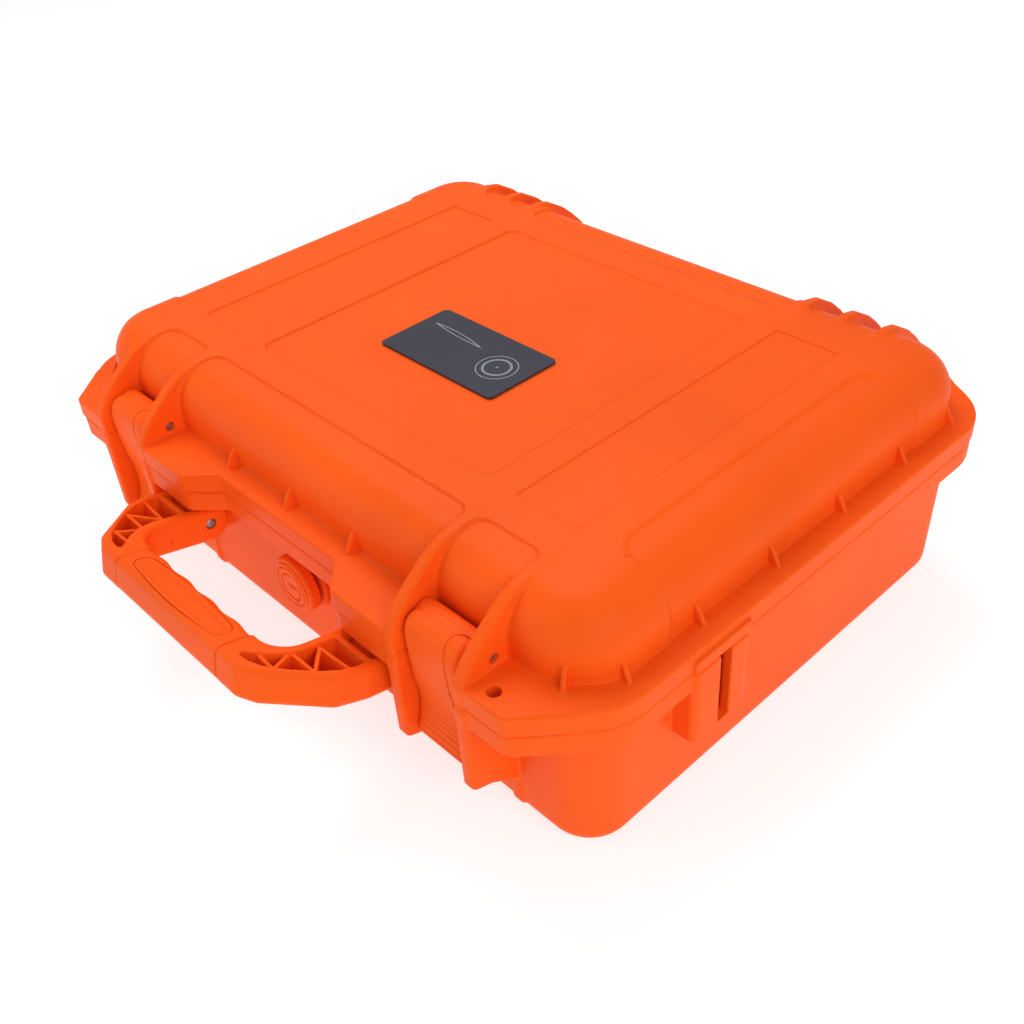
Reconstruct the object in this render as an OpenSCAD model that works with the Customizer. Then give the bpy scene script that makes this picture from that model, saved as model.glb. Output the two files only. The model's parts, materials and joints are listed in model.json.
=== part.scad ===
/* [Case size] */
// Overall width across the rim flange
case_w = 358.6; // [300:0.2:420]
// Front to back size of the rim flange, without the latch and hinge bays
rim_d = 269.4; // [220:0.2:320]
// Height of the split between the base and the lid
split_z = 78; // [60:0.5:110]
// Height of the closed case
case_h = 116.5; // [100:0.5:160]
// Wall thickness of both shells
wall_t = 4.5; // [3:0.1:6]

/* [Base shell] */
// Half width of the base body
base_hx = 169.5; // [140:0.1:200]
// Half depth of the base body
base_hy = 124; // [100:0.1:150]
// Corner radius of the base body in plan
base_r = 20; // [14:0.5:30]
// Radius of the rounding along the bottom edge
foot_r = 9; // [6:0.5:12]
// Thickness of the floor
floor_t = 5; // [3:0.1:8]
// Underside of the base flange
base_flange_z = 67.5; // [60:0.5:72]

/* [Lid shell] */
// Half width of the lid body
lid_hx = 169; // [140:0.1:200]
// Half depth of the lid body
lid_hy = 125.4; // [100:0.1:150]
// Corner radius of the lid body in plan
lid_r = 28; // [24:0.5:36]
// Radius of the rolled top edge
roll_r = 19; // [14:0.5:22]
// Top of the lid flange
lid_flange_z = 88; // [84:0.5:92]
// Depth of the shallow windows in the rolled edge
window_t = 1.3; // [0.5:0.1:2]
// Depth of the panels on the lid top
panel_t = 0.7; // [0.3:0.1:1.5]

/* [Rim] */
// Plan radius of the flange corners
rim_r = 31; // [24:0.5:36]
// Distance of the latch bays' front edge from the middle
bay_y = 147; // [140:0.5:152]
// Distance of the hinge bays' rear edge from the middle
hinge_bay_y = 140; // [136:0.5:144]
// Gap between the two flanges when closed
rim_gap = 0.4; // [0.2:0.1:1]

/* [Latches] */
// Sideways position of each latch
latch_x = 110; // [90:0.5:130]
// Width between the latch fins
latch_bay_w = 33; // [26:0.5:40]
// Thickness of each latch fin
fin_t = 5.5; // [4:0.5:8]
// Latch axle position, front to back
latch_y = -131; // [-135:0.5:-128]
// Latch axle height
latch_z = 91.5; // [88:0.5:96]
// Radius of the latch axle
latch_pin_r = 1.75; // [1.5:0.05:2.5]

/* [Hinges] */
// Hinge axis position, front to back
hinge_y = 141; // [136:0.5:146]
// Hinge axis height
hinge_z = 78.2; // [76:0.1:82]
// Radius of the hinge knuckles
knuckle_r = 6; // [5:0.1:8]
// Radius of the hinge pins
hinge_pin_r = 2; // [1.5:0.1:3]

/* [Handle] */
// Pivot axis position, front to back
pivot_y = -139; // [-142:0.5:-134]
// Pivot axis height
pivot_z = 57; // [52:0.5:60]
// Angle of the raised handle above level
handle_tilt = 14; // [0:1:20]
// Outer half width of the handle
handle_hx = 82.5; // [70:0.5:90]
// Half width of the finger opening
grip_gap_hx = 53.9; // [45:0.1:60]
// Reach of the handle from its pivot
handle_reach = 54.6; // [48:0.2:58]
// Thickness of the handle
handle_t = 17; // [14:0.5:18]
// Height of the handle's upper face over its pivot axis
handle_top = 7.5; // [6:0.1:7.6]

/* [Pressure valve] */
// Height of the valve centre
valve_z = 47.9; // [40:0.1:56]
// Radius of the knob
knob_r = 13.8; // [12:0.1:16]

/* [Hidden] */
$fn = 96;
lid_z0 = split_z + rim_gap;
roll_c = lid_r - roll_r;
roll_z = case_h - roll_r;
hole_gap = 0.07;
fin_x = [latch_x - latch_bay_w/2 - fin_t, latch_x + latch_bay_w/2];
hinge_fin_x = [89.7, 110, 130.3];
hinge_fin_t = 5;
gusset_y = [-66, -22, 22, 66, 105];
padlock_x = 140.4;
padlock_y = -139.5;
padlock_r = 3;
pocket_r = 5;
pad_y = -46.4;
grip_hx = 39;
core_u = [40.5, 52];

// ---------- helpers ----------

// carries a profile (x outward, y up) round a rectangle of half size hx, hy
module round_rectangle(hx, hy) {
  for (sx = [0, 1], sy = [0, 1])
    mirror([sx, 0, 0]) mirror([0, sy, 0])
      translate([hx, hy, 0]) rotate_extrude(angle = 90) children();
  for (s = [0, 1])
    mirror([s, 0, 0]) translate([hx, hy, 0])
      rotate([90, 0, 0]) linear_extrude(2*hy) children();
  for (s = [0, 1])
    mirror([0, s, 0]) translate([-hx, hy, 0])
      rotate([90, 0, 90]) linear_extrude(2*hx) children();
}

// plan outline of a rectangle with true round corners
module rounded_plan(hx, hy, r) {
  square([2*hx, 2*(hy - r)], center = true);
  square([2*(hx - r), 2*hy], center = true);
  for (sx = [-1, 1], sy = [-1, 1])
    translate([sx*(hx - r), sy*(hy - r)]) circle(r = r);
}

// slab standing on edge: outline given as y, z and thickness along x
module side_plate(x0, t) {
  translate([x0, 0, 0]) rotate([90, 0, 90]) linear_extrude(t) children();
}

module both_sides() {
  children();
  mirror([1, 0, 0]) children();
}

module box(lo, hi) {
  translate(lo) cube(hi - lo);
}

// ---------- base ----------

module base_profile(r, z0, fr, z1) {
  translate([0, z0]) square([r - fr, z1 - z0]);
  translate([0, z0 + fr]) square([r, z1 - z0 - fr]);
  intersection() {
    translate([r - fr, z0 + fr]) circle(r = fr);
    translate([r - fr, z0]) square([fr, fr]);
  }
}

module base_body(r, z0, fr, z1) {
  hx = base_hx - base_r;
  hy = base_hy - base_r;
  round_rectangle(hx, hy) base_profile(r, z0, fr, z1);
  box([-hx, -hy, z0], [hx, hy, z1]);
}

module rim_plan() {
  rounded_plan(case_w/2, rim_d/2, rim_r);
  for (s = [-1, 1]) {
    scale([s, 1]) polygon([[42.3, -120], [42.3, -rim_d/2], [55.7, -bay_y], [150.6, -bay_y],
      [152.7, -146], [170, -126.5], [150, -110]]);
    scale([s, 1]) polygon([[70, 120], [70, rim_d/2], [76, hinge_bay_y], [150, hinge_bay_y],
      [166, 128], [150, 110]]);
  }
}

module latch_fin_base(x0) {
  side_plate(x0, fin_t)
    polygon([[-122, 18], [-142, 31.6], [-145.8, 34.5], [-147.6, 39], [-147.6, split_z],
      [-122, split_z]]);
}

module keeper(x0, w) {
  side_plate(x0, w)
    polygon([[-122, 47], [-132, 50.5], [-134.6, 53.5], [-134.6, 60], [-122, 66]]);
}

module handle_lug(x0) {
  side_plate(x0, 18)
    polygon([[-122, 44], [-133, 50], [-136, 64], [-130, 68], [-122, 68]]);
  translate([x0, pivot_y, pivot_z]) rotate([0, 90, 0]) cylinder(r = 7, h = 18);
}

module base_knuckle(x0, w) {
  side_plate(x0, w)
    polygon([[122, 52], [126, 52], [144.5, 73.3], [hinge_y, hinge_z], [134.4, split_z],
      [122, split_z]]);
  translate([x0, hinge_y, hinge_z]) rotate([0, 90, 0]) cylinder(r = knuckle_r, h = w);
}

module strap_lug() {
  box([base_hx - 3, -80, 41], [181, -48, split_z]);
}

module strap_slot() {
  box([176.5, -65.7, 43], [183, -59.3, split_z + 1]);
  box([172.2, -73, 43], [176.6, -54, split_z + 1]);
}

module base_shell() {
  color([1, 0.36, 0.12])
  difference() {
    union() {
      base_body(base_r, 0, foot_r, split_z);
      difference() {
        translate([0, 0, base_flange_z])
          linear_extrude(split_z - base_flange_z) rim_plan();
        both_sides() {
          box([latch_x - latch_bay_w/2, -160, 60], [latch_x + latch_bay_w/2, -128.5, 90]);
          box([84.5, hinge_bay_y - 5.8, 60], [135.5, 160, 90]);
        }
      }
      both_sides() {
        for (x = fin_x) latch_fin_base(x);
        keeper(fin_x[0] + 1, latch_bay_w + 2*fin_t - 2);
        handle_lug(59.5);
        base_knuckle(92.6, 14.5);
        base_knuckle(112.9, 14.5);
        strap_lug();
      }
    }
    base_body(base_r - wall_t, floor_t, 6, split_z + 1);
    translate([padlock_x, padlock_y, 60]) cylinder(r = padlock_r, h = 30);
    both_sides() {
      strap_slot();
      translate([80, hinge_y, hinge_z]) rotate([0, 90, 0])
        cylinder(r = hinge_pin_r + hole_gap, h = 60);
      translate([50, pivot_y, pivot_z]) rotate([0, 90, 0])
        cylinder(r = 1.6, h = 25);
    }
    translate([0, -130, valve_z]) rotate([-90, 0, 0]) cylinder(r = 9.1, h = 20);
  }
}

// flat pad under the cut block
module foam_pad() {
  color([0.12, 0.12, 0.13]) {
    translate([0, 0, 11.2]) linear_extrude(8.9) rounded_plan(163.5, 118, 13);
    translate([0, 0, 5.2]) linear_extrude(6) rounded_plan(157, 111.5, 8);
  }
}

// block with four pockets cut right through, down to the pad
module foam_base() {
  color([0.13, 0.13, 0.14])
  difference() {
    translate([0, 0, 20.2]) linear_extrude(54)
      difference() {
        rounded_plan(163.5, 118, 13);
        translate([-75, 10]) rounded_plan(70, 88, pocket_r);
        translate([82, 52]) rounded_plan(64, 46, pocket_r);
        translate([50, -50]) rounded_plan(32, 36, pocket_r);
        translate([122, -50]) rounded_plan(24, 36, pocket_r);
      }
    box([-17, -125, valve_z - 17], [17, -111, 80]);
  }
}

// ---------- hinge pins ----------

module hinge_pin() {
  translate([86.2, hinge_y, hinge_z]) rotate([0, 90, 0]) cylinder(r = hinge_pin_r, h = 47.6);
}

module hinge_pin_right() {
  color([0.7, 0.7, 0.72]) hinge_pin();
}

module hinge_pin_left() {
  color([0.7, 0.7, 0.72]) mirror([1, 0, 0]) hinge_pin();
}

// ---------- pressure valve ----------

module valve_axis(y) {
  translate([0, y, valve_z]) rotate([-90, 0, 0]) children();
}

module valve_seat() {
  color([0.95, 0.33, 0.1])
  difference() {
    union() {
      valve_axis(-126.6) cylinder(r = 14.6, h = 2.4);
      valve_axis(-126.6) cylinder(r = 9, h = 14.6);
    }
    valve_axis(-127) cylinder(r = 6.06, h = 20);
    valve_axis(-125.8) rotate_extrude() translate([10.6, 0]) square([3, 2]);
  }
}

module valve_seal() {
  color([0.1, 0.1, 0.1])
  valve_axis(-124.95) rotate_extrude() translate([12.1, 0]) circle(r = 0.8);
}

module valve_nut() {
  color([0.93, 0.32, 0.1])
  difference() {
    valve_axis(-119.4) rotate([0, 0, 30]) cylinder(r = 15, h = 5.2, $fn = 6);
    valve_axis(-120) cylinder(r = 9.05, h = 8);
  }
}

module valve_knob() {
  color([1, 0.4, 0.14])
  difference() {
    union() {
      valve_axis(-133.4) cylinder(r = knob_r, h = 5.4);
      valve_axis(-134.4) cylinder(r = 11.6, h = 2);
      valve_axis(-128.5) cylinder(r = 6, h = 15.5);
    }
    for (i = [0:35])
      valve_axis(-136) rotate([0, 0, i*10]) translate([knob_r + 0.6, 0, 0])
        cylinder(r = 1.1, h = 10, $fn = 24);
    valve_axis(-136) rotate_extrude() translate([6.6, 0]) square([0.7, 2.1]);
    valve_axis(-136) rotate_extrude() translate([9.6, 0]) square([0.6, 2]);
    translate([2.7, -136, valve_z - 7]) rotate([-90, 0, 0]) cylinder(r = 0.8, h = 4);
    valve_axis(-120) cylinder(r = 3.5, h = 8);
  }
}

// ---------- handle ----------

// local frame of the handle: origin on the pivot axis, reach along -y, thickness along z
module handle_frame_at() {
  translate([0, pivot_y, pivot_z]) rotate([-handle_tilt, 0, 0]) children();
}

module handle_outer_plan() {
  for (s = [-1, 1])
    scale([s, 1])
      polygon([[0, 0], [0, -handle_reach], [50.5, -handle_reach], [55, -53.6], [59.5, -50.6],
        [78.2, -29.4], [80.6, -25], [82.2, -17], [handle_hx, -12], [handle_hx, 0]]);
}

module handle_opening_plan() {
  translate([-grip_gap_hx, -25.5]) square([2*grip_gap_hx, 40]);
  translate([-(grip_gap_hx - 12), -37.5]) square([2*(grip_gap_hx - 12), 20]);
  for (s = [-1, 1]) translate([s*(grip_gap_hx - 12), -25.5]) circle(r = 12);
}

module pocket_plan() {
  polygon([[44.4, -49.6], [52.5, -48.9], [58.5, -46.2], [65.4, -39.9], [72.6, -31.6],
    [76.6, -24.6], [78.2, -18], [78.2, -13.2], [58.4, -13.2], [58.4, -27], [57, -34],
    [52.4, -41.4], [47.5, -46.4]]);
}

module rib(a, b) {
  d = b - a;
  l = norm(d);
  translate(a) rotate([0, 0, atan2(d[1], d[0])]) translate([-1, -0.9]) square([l + 2, 1.8]);
}

module truss_plan() {
  intersection() {
    pocket_plan();
    union() {
      rib([48, -42.8], [61, -43.6]);
      rib([61, -43.6], [55.8, -32.4]);
      rib([55.8, -32.4], [71.5, -32.2]);
      rib([71.5, -32.2], [59.5, -21.5]);
      rib([59.5, -21.5], [78.5, -20]);
    }
  }
}

module handle_arm_end() {
  // two cheeks that stand either side of the lug on the base, flat on top
  r = handle_t - handle_top;
  intersection() {
    for (x = [grip_gap_hx, 78.2])
      translate([x, 0, 0]) rotate([0, 90, 0]) cylinder(r = r, h = x < 60 ? 4.5 : 4.3);
    box([50, -r, -r], [90, r, handle_top]);
  }
}

module handle_frame() {
  z0 = handle_top - handle_t;
  color([1, 0.36, 0.12])
  handle_frame_at()
  difference() {
    union() {
      translate([0, 0, z0]) linear_extrude(handle_t)
        difference() {
          handle_outer_plan();
          handle_opening_plan();
          translate([-grip_hx, -60]) square([2*grip_hx, 30]);
        }
      translate([-grip_hx - 1, -core_u[1], -6.5]) cube([2*grip_hx + 2, core_u[1] - core_u[0], 11]);
      both_sides() handle_arm_end();
    }
    both_sides() {
      // pocket with its zigzag ribs, open at the top
      difference() {
        translate([0, 0, -5]) linear_extrude(20) pocket_plan();
        translate([0, 0, -6]) linear_extrude(12.6) truss_plan();
      }
      // room for the lug on the base
      box([58.4, -10.6, -20], [78.2, 20, 20]);
      translate([50, 0, 0]) rotate([0, 90, 0]) cylinder(r = 2.07, h = 15);
      translate([50, 0, 0]) rotate([0, 90, 0]) cylinder(r = 2.8, h = 5.4);
    }
  }
}

module handle_grip() {
  color([1, 0.38, 0.13])
  handle_frame_at()
  difference() {
    translate([-grip_hx + 0.2, -handle_reach - 0.1, handle_top - handle_t - 0.2])
      cube([2*grip_hx - 0.4, handle_reach + 0.1 - 37, handle_t + 0.4]);
    translate([-grip_hx - 1, -core_u[1], -6.5]) cube([2*grip_hx + 2, core_u[1] - core_u[0], 11]);
    for (i = [-1.5:1:1.5])
      translate([i*18.5, -37 + 28.6, -20]) cylinder(r = 30, h = 40);
    translate([0, pad_y, handle_top - 0.8]) grip_pad(0, 3);
  }
}

// long pad seen on top of the grip
module grip_pad(shrink, h) {
  linear_extrude(h) rounded_plan(33.4 - shrink, 6.2 - shrink, 4.8 - shrink);
}

module grip_inset() {
  color([1, 0.36, 0.12])
  handle_frame_at()
    translate([0, pad_y, handle_top - 0.8]) grip_pad(0.25, 0.8);
}

module handle_screw() {
  translate([54.3, pivot_y, pivot_z]) rotate([0, 90, 0])
  difference() {
    union() {
      cylinder(r = 2.4, h = 1.1);
      cylinder(r = 1.95, h = 4.6);
      cylinder(r = 1.5, h = 19);
    }
    translate([0, 0, -1]) cylinder(r = 1.1, h = 1.8, $fn = 6);
  }
}

module handle_screw_right() {
  color([0.72, 0.72, 0.74]) handle_screw();
}

module handle_screw_left() {
  color([0.72, 0.72, 0.74]) mirror([1, 0, 0]) handle_screw();
}

// ---------- lid ----------

module lid_profile(i, z0) {
  translate([0, z0]) square([roll_c, case_h - i - z0]);
  translate([0, z0]) square([lid_r - i, roll_z - z0]);
  intersection() {
    translate([roll_c, roll_z]) circle(r = roll_r - i);
    translate([roll_c, roll_z]) square(roll_r);
  }
}

module lid_body(i, z0) {
  hx = lid_hx - lid_r;
  hy = lid_hy - lid_r;
  round_rectangle(hx, hy) lid_profile(i, z0);
  box([-hx, -hy, z0], [hx, hy, case_h - i]);
}

module lid_windows() {
  // front window, latch windows, side windows and rear window
  translate([0, -150, 92]) linear_extrude(40) rounded_plan(87.4, 51, 6);
  both_sides() {
    translate([latch_x, -150, 86]) linear_extrude(46) rounded_plan(16.4, 51, 5);
    translate([191, -1, 92]) linear_extrude(40) rounded_plan(49.5, 79, 6);
    translate([110, 155, 92]) linear_extrude(40) rounded_plan(17.8, 53, 5);
  }
  translate([0, 150, 92]) linear_extrude(40) rounded_plan(83.5, 51, 6);
}

module latch_fin_lid(x0) {
  side_plate(x0, fin_t)
    polygon([[-97, 105], [-97, 115.9], [-107.5, 116.4], [-112, 116.1], [-117.5, 114.8],
      [-122, 112.8], [-126, 110.2], [-133.5, 104.4], [-138.5, 100], [-142.8, 95.4],
      [-145.8, 90.8], [-147.2, 85.5], [-147.6, lid_z0], [-122, lid_z0], [-120, 95]]);
}

module hinge_fin(x) {
  side_plate(x - hinge_fin_t/2, hinge_fin_t)
    polygon([[100, 105], [101, 115.9], [105.5, 117], [111.5, 117.4], [119.3, 115.6],
      [129.2, 109.7], [137.2, 103], [144.6, 95], [146.6, 91], [147, 86], [147, hinge_z],
      [134.6, lid_z0], [122, lid_z0], [120, 100]]);
  translate([x - hinge_fin_t/2, hinge_y, hinge_z]) rotate([0, 90, 0])
    cylinder(r = knuckle_r, h = hinge_fin_t);
}

module gusset() {
  rotate([90, 0, 0]) translate([0, 0, -1])
    linear_extrude(2) polygon([[-2, 86], [4.2, 87], [4.2, 88.4], [0.2, 95.6], [-2, 95.6]]);
}

module gussets() {
  both_sides() {
    for (y = concat([-105], gusset_y)) if (abs(y) < 100) translate([lid_hx, y, 0]) gusset();
    for (sy = [-1, 1])
      for (a = [14, 57])
        translate([lid_hx - lid_r, sy*(lid_hy - lid_r), 0])
          rotate([0, 0, sy*a]) translate([lid_r, 0, 0]) gusset();
  }
  for (x = [-43.3, 0, 43.3], sy = [-1, 1])
    translate([x, sy*lid_hy, 0]) rotate([0, 0, sy*90]) gusset();
}

module lid_shell() {
  color([1, 0.36, 0.12])
  difference() {
    union() {
      difference() {
        lid_body(0, lid_z0);
        lid_windows();
      }
      lid_body(window_t, lid_z0);
      difference() {
        translate([0, 0, lid_z0]) linear_extrude(lid_flange_z - lid_z0) rim_plan();
        both_sides() {
          box([latch_x - latch_bay_w/2, -160, 60], [latch_x + latch_bay_w/2, -125.6, 90]);
          box([84.5, hinge_bay_y - 5.8, 60], [135.5, 160, 90]);
        }
      }
      both_sides() {
        for (x = fin_x) latch_fin_lid(x);
        for (x = hinge_fin_x) hinge_fin(x);
        box([case_w/2 - 4, -80, lid_z0], [181, -48, 84]);
      }
      gussets();
    }
    lid_body(wall_t, lid_z0 - 1);
    // groove for the seal in the underside of the rim
    round_rectangle(base_hx - base_r, base_hy - base_r)
      translate([17.6, lid_z0 - 1]) square([3.4, 4]);
    // shallow panels on the lid top
    translate([0, 0, case_h - panel_t]) linear_extrude(3) {
      rounded_plan(78.1, 81.5, 6);
      for (s = [-1, 1])
        translate([s*109.9, 0]) rounded_plan(16.1, 81.7, 0.8);
    }
    translate([padlock_x, padlock_y, 70]) cylinder(r = padlock_r, h = 30);
    both_sides() {
      translate([80, hinge_y, hinge_z]) rotate([0, 90, 0])
        cylinder(r = hinge_pin_r + hole_gap, h = 60);
      translate([80, latch_y, latch_z]) rotate([0, 90, 0])
        cylinder(r = latch_pin_r + 0.05, h = 60);
      translate([80, latch_y, latch_z]) rotate([0, 90, 0])
        cylinder(r = 2.3, h = fin_x[0] + 1.6 - 80);
      translate([fin_x[1] + fin_t - 1.6, latch_y, latch_z]) rotate([0, 90, 0])
        cylinder(r = 2.3, h = 8);
    }
  }
}

module gasket() {
  color([0.08, 0.08, 0.08])
  round_rectangle(base_hx - base_r, base_hy - base_r)
    translate([19.3, lid_z0 + 1.45]) circle(r = 1.5, $fn = 48);
}

module foam_lid() {
  color([0.13, 0.13, 0.14])
  difference() {
    translate([0, 0, 84]) linear_extrude(27.6) rounded_plan(148, 104, 16);
    for (i = [-7:7])
      translate([i*19, 0, 84]) rotate([90, 0, 0])
        cylinder(r = 5.5, h = 230, center = true, $fn = 48);
  }
}

module label_plate() {
  color([0.24, 0.24, 0.29])
  translate([0, -22.6, case_h - panel_t]) linear_extrude(0.8) rounded_plan(37.3, 20.6, 2.5);
}

// ---------- latches ----------

module latch_lever() {
  difference() {
    union() {
      translate([latch_x - 16, latch_y, latch_z]) rotate([0, 90, 0]) cylinder(r = 4.8, h = 32);
      side_plate(latch_x - 16, 32)
        polygon([[-131, 96.2], [-136.6, 97], [-139.8, 96.2], [-141.9, 94], [-143, 90.8],
          [-143.3, 86], [-142.9, 76], [-141.6, 66], [-139.9, 58], [-139.4, 51], [-140.4, 44],
          [-142.6, 36.4], [-141.6, 35], [-138, 35], [-135.6, 40], [-135.2, 46], [-135.2, 64],
          [-136.4, 70], [-136.4, 85], [-134, 87.8], [-131, 91]]);
      for (i = [0:5])
        translate([latch_x - 14.5, -139.2 - (i < 3 ? 0.1 : 0.35*(i - 2)), 54 - i*3.1])
          rotate([0, 90, 0]) cylinder(r = 1, h = 29, $fn = 32);
    }
    translate([latch_x - 20, latch_y, latch_z]) rotate([0, 90, 0])
      cylinder(r = latch_pin_r + hole_gap, h = 40);
  }
}

module latch_lever_right() {
  color([1, 0.4, 0.12]) latch_lever();
}

module latch_lever_left() {
  color([1, 0.4, 0.12]) mirror([1, 0, 0]) latch_lever();
}

module latch_pin() {
  translate([fin_x[0] + 1, latch_y, latch_z]) rotate([0, 90, 0])
    cylinder(r = latch_pin_r, h = latch_bay_w + 2*fin_t - 2);
}

module latch_pin_right() {
  color([0.7, 0.7, 0.72]) latch_pin();
}

module latch_pin_left() {
  color([0.7, 0.7, 0.72]) mirror([1, 0, 0]) latch_pin();
}

base_shell();
foam_pad();
foam_base();
handle_frame();
handle_grip();
grip_inset();
handle_screw_left();
handle_screw_right();
valve_seat();
valve_seal();
valve_nut();
valve_knob();
hinge_pin_left();
hinge_pin_right();
lid_shell();
gasket();
foam_lid();
label_plate();
latch_lever_left();
latch_lever_right();
latch_pin_left();
latch_pin_right();
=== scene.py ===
"""Looks of the hard equipment case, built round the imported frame.

The moulded pieces are distance fields in millimetres, sampled on a voxel grid, turned into a mesh
and pulled exactly onto the field's zero surface, so every edge is round and every rib blends in.
"""
import json
import math

import bpy
import numpy as np
import openvdb
from mathutils import Matrix, Vector


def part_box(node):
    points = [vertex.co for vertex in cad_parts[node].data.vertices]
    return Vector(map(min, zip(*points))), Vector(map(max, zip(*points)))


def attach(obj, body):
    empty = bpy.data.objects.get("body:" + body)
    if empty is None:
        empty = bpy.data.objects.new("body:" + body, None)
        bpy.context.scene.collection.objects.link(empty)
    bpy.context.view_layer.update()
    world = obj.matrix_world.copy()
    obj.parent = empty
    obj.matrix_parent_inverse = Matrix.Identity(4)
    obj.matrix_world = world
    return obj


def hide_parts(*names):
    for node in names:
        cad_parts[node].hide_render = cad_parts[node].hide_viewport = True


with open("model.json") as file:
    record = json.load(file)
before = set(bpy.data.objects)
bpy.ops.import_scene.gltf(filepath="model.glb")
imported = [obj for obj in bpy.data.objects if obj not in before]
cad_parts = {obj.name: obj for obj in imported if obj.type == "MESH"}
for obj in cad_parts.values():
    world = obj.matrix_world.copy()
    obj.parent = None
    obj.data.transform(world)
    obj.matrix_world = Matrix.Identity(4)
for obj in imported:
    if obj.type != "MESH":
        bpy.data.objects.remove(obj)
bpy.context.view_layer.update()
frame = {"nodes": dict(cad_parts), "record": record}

MM = 0.001
FINE = 0.62     # voxel size of the two shells
SMALL = 0.4     # voxel size of the small pieces


def node_mm(node):
    """Lowest and highest corner of a CAD node in millimetres."""
    low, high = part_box(node)
    return np.array(low) / MM, np.array(high) / MM


def middle_mm(node):
    """Middle of a CAD node, to a hundredth of a millimetre."""
    low, high = node_mm(node)
    return [round(float(v), 2) for v in (low + high) / 2]


# ---------- distance fields ----------
# A shape is (field, low corner, high corner); field(x, y, z) is negative inside.

def round_union(a, b, r):
    if r <= 0:
        return np.minimum(a, b)
    return np.maximum(r, np.minimum(a, b)) - np.hypot(np.maximum(r - a, 0), np.maximum(r - b, 0))


def round_cut(a, b, r):
    return -round_union(-a, b, r)


def corner(a, b):
    """Joins two perpendicular distances into the distance to their shared quarter space."""
    return np.hypot(np.maximum(a, 0), np.maximum(b, 0)) + np.minimum(np.maximum(a, b), 0)


def rectangle(x, y, cx, cy, hx, hy, r=0.0):
    return corner(np.abs(x - cx) - hx + r, np.abs(y - cy) - hy + r) - r


def smooth_step(d, half_width):
    """1 inside an outline, 0 outside, with a soft edge."""
    t = np.clip(0.5 - d / (2 * half_width), 0, 1)
    return t * t * (3 - 2 * t)


def inset(points, r):
    """Moves each edge of an outline inwards by r."""
    p = np.array(points, float)
    area = sum(p[i - 1][0] * p[i][1] - p[i][0] * p[i - 1][1] for i in range(len(p)))
    if area < 0:
        p = p[::-1]
    result = []
    for i in range(len(p)):
        a, b, c = p[i - 1], p[i], p[(i + 1) % len(p)]
        u, v = (b - a) / np.linalg.norm(b - a), (c - b) / np.linalg.norm(c - b)
        nu, nv = np.array([-u[1], u[0]]), np.array([-v[1], v[0]])
        result.append(b + r * (nu + nv) / (1 + nu @ nv))
    return np.array(result)


def outline(points, r=0.0):
    """A polygon with corners rounded to r, as a flat field and its box."""
    p = inset(points, r) if r > 0 else np.array(points, float)

    def field(x, y):
        d = np.full(x.shape, 1e9, x.dtype)
        inside = np.zeros(x.shape, bool)
        for i in range(len(p)):
            (ax, ay), (bx, by) = p[i], p[i - 1]
            ex, ey = bx - ax, by - ay
            wx, wy = x - ax, y - ay
            t = np.clip((wx * ex + wy * ey) / (ex * ex + ey * ey), 0, 1)
            d = np.minimum(d, (wx - ex * t) ** 2 + (wy - ey * t) ** 2)
            if ay != by:
                crosses = ((ay > y) != (by > y)) & (x < ex * (y - ay) / ey + ax)
                inside ^= crosses
        d = np.sqrt(d)
        return np.where(inside, -d, d) - r

    q = np.array(points, float)
    return field, q.min(0), q.max(0)


def flat_box(cx, cy, hx, hy, r=0.0):
    return (lambda x, y: rectangle(x, y, cx, cy, hx, hy, r), np.array([cx - hx, cy - hy]),
            np.array([cx + hx, cy + hy]))


def disc(cx, cy, r):
    return (lambda x, y: np.hypot(x - cx, y - cy) - r, np.array([cx - r, cy - r]),
            np.array([cx + r, cy + r]))


def prism(flat, axis, start, end, r=0.0):
    """Carries a flat outline along x, y or z, with its two end edges rounded to r."""
    field2, low2, high2 = flat
    middle, half = (start + end) / 2, (end - start) / 2
    others = [i for i in range(3) if i != axis]
    low, high = np.zeros(3), np.zeros(3)
    low[axis], high[axis] = start, end
    low[others], high[others] = low2, high2

    def field(x, y, z):
        p = (x, y, z)
        d2 = field2(p[others[0]], p[others[1]])
        return corner(d2 + r, np.abs(p[axis] - middle) - half + r) - r

    return field, low, high


X, Y, Z = 0, 1, 2
FAR = np.full(3, 1e6)


class Solid:
    """Shapes added and cut in order. Each one is worked out only near its own box."""

    def __init__(self, field):
        self.steps = [("add", 0.0, field, -FAR, FAR)]

    def add(self, shape, r=0.0):
        field, low, high = shape
        self.steps.append(("add", r, field, low, high))

    def cut(self, shape, r=0.0):
        field, low, high = shape
        self.steps.append(("cut", r, field, low, high))

    def __call__(self, x, y, z):
        """x, y and z hold one row per group of points; a group is skipped where a step is far off."""
        low = np.stack([v.min(-1) for v in (x, y, z)], -1)
        high = np.stack([v.max(-1) for v in (x, y, z)], -1)
        d = None
        for kind, r, field, box_low, box_high in self.steps:
            if d is None:
                d = field(x, y, z)
                continue
            reach = r + 3.0
            near = ((high > box_low - reach) & (low < box_high + reach)).all(-1)
            if not near.any():
                continue
            other = field(x[near], y[near], z[near])
            join = round_union if kind == "add" else round_cut
            d[near] = join(d[near], other, r)
        return d


BLOCK = 8


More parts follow.
